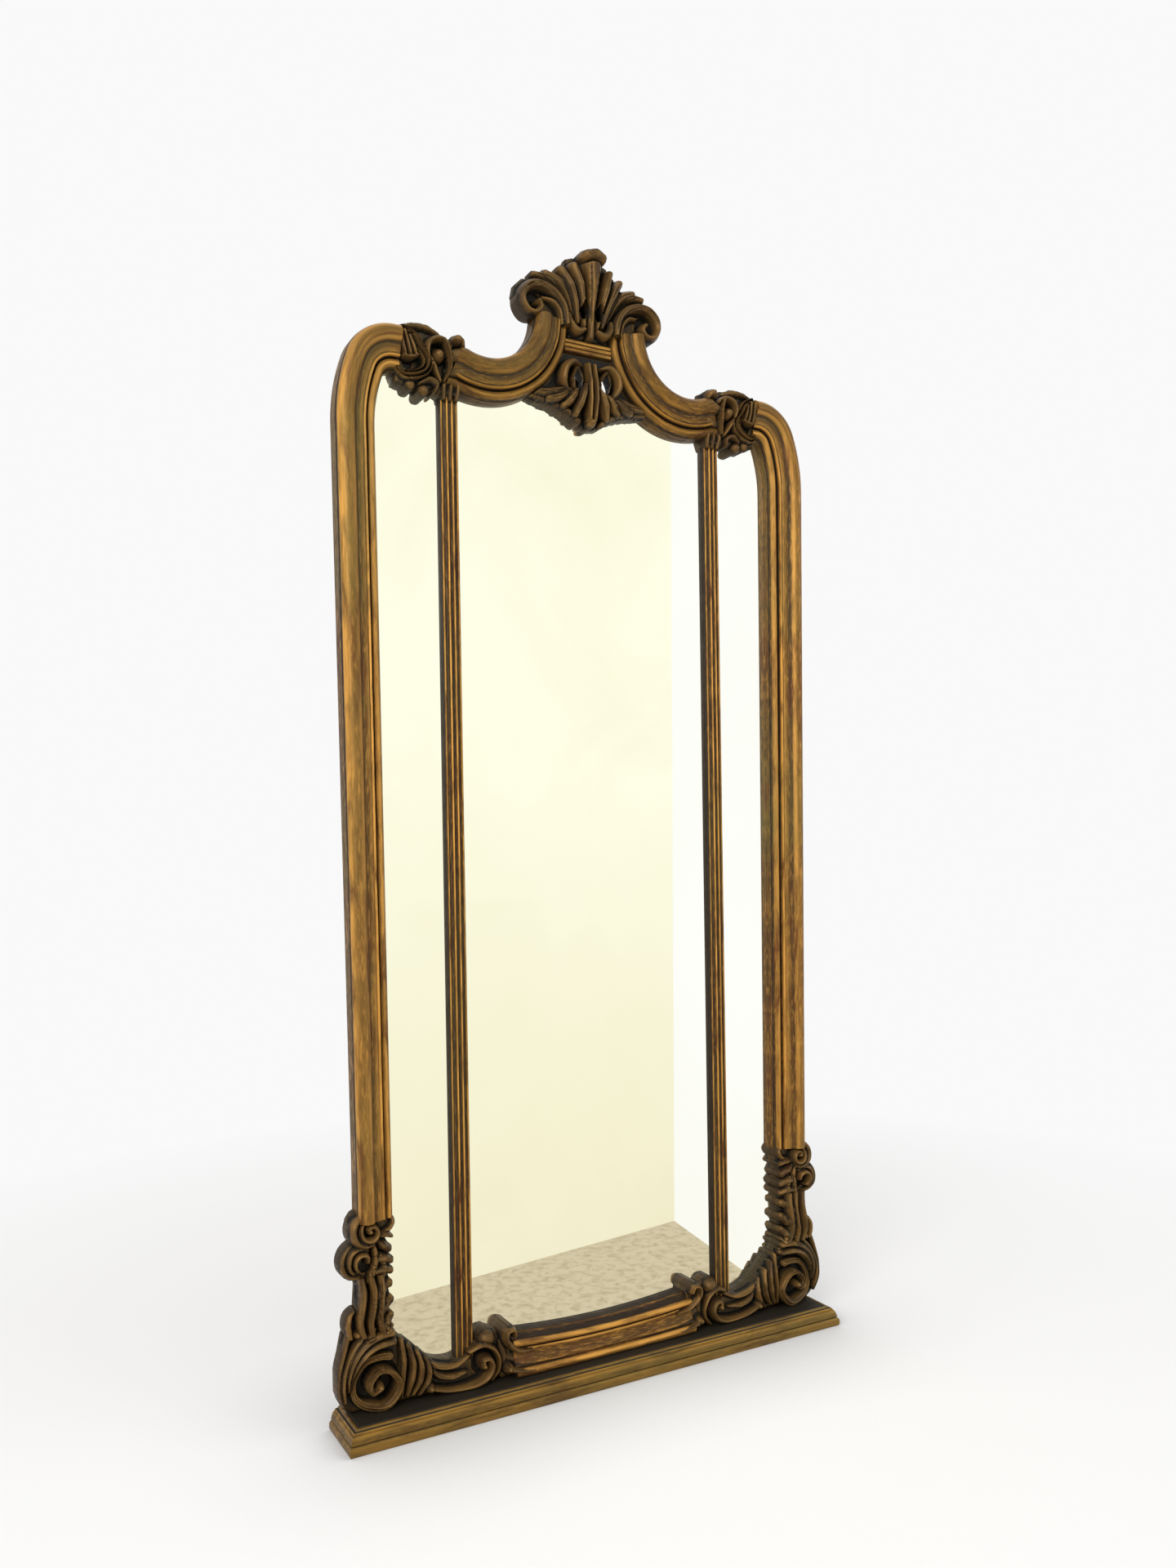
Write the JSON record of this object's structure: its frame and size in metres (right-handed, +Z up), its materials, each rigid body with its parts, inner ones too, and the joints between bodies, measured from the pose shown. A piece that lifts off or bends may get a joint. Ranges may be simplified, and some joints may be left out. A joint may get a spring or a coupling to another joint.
{
  "type": "trumeau mirror",
  "caption": "Tall three-plate trumeau mirror in a carved gilt rococo frame with swan-neck crest, standing on a moulded plinth, with swinging hanger rings behind.",
  "frame": {"origin": "middle of the underside of the plinth, at the middle of its depth", "axes": "+X to the viewer's right, +Y back into the wall, +Z up"},
  "size_m": [0.99, 0.1097, 2],
  "materials": {
    "gilt_wood": "worn old gilding over red bole, dark in the recesses",
    "plinth_wood": "dark stained wood with a gilt edge",
    "silvered_plate": "silvered plate glass",
    "pine": "old unfinished softwood",
    "screw_steel": "dull steel",
    "hanger_steel": "dark steel"
  },
  "bodies": {
    "frame": {"backboard_screws": "screw_steel", "bottom_back_rail": "pine", "bottom_rail_moulding": "gilt_wood", "carving_screws": "screw_steel", "centre_backboard_1": "pine", "centre_backboard_2": "pine", "centre_backboard_3": "pine", "centre_backboard_4": "pine", "centre_mirror_plate": "silvered_plate", "crest_batten": "pine", "crest_cross_rail": "gilt_wood", "crest_crosspiece": "pine", "crest_palmette": "gilt_wood", "glazing_blocks": "pine", "hanger_screws": "screw_steel", "left_apron_leaf": "gilt_wood", "left_back_muntin": "pine", "left_back_stile": "pine", "left_backboard": "pine", "left_corner_volute": "gilt_wood", "left_crest_scroll": "gilt_wood", "left_hanger_strap": "hanger_steel", "left_mirror_plate": "silvered_plate", "left_mullion": "gilt_wood", "left_shoulder_cartouche": "gilt_wood", "left_stile_leaf": "gilt_wood", "left_stile_moulding": "gilt_wood", "left_stile_scroll": "gilt_wood", "left_swan_neck": "gilt_wood", "pendant_palmette": "gilt_wood", "plinth_board": "plinth_wood", "plinth_screws": "screw_steel", "right_apron_leaf": "gilt_wood", "right_back_muntin": "pine", "right_back_stile": "pine", "right_backboard": "pine", "right_corner_volute": "gilt_wood", "right_crest_scroll": "gilt_wood", "right_hanger_strap": "hanger_steel", "right_mirror_plate": "silvered_plate", "right_mullion": "gilt_wood", "right_shoulder_cartouche": "gilt_wood", "right_stile_leaf": "gilt_wood", "right_stile_moulding": "gilt_wood", "right_stile_scroll": "gilt_wood", "right_swan_neck": "gilt_wood", "top_back_rail": "pine"},
    "left_ring": {"left_hanger_ring": "hanger_steel"},
    "right_ring": {"right_hanger_ring": "hanger_steel"}
  },
  "joints": [
    {"name": "left_ring_swing", "type": "hinge", "parent": "frame", "child": "left_ring", "pos_m": [-0.431, 0.0498, 1.48], "axis": [1, 0, 0], "range_deg": [0, 180]},
    {"name": "right_ring_swing", "type": "hinge", "parent": "frame", "child": "right_ring", "pos_m": [0.431, 0.0498, 1.48], "axis": [1, 0, 0], "range_deg": [0, 180]}
  ]
}
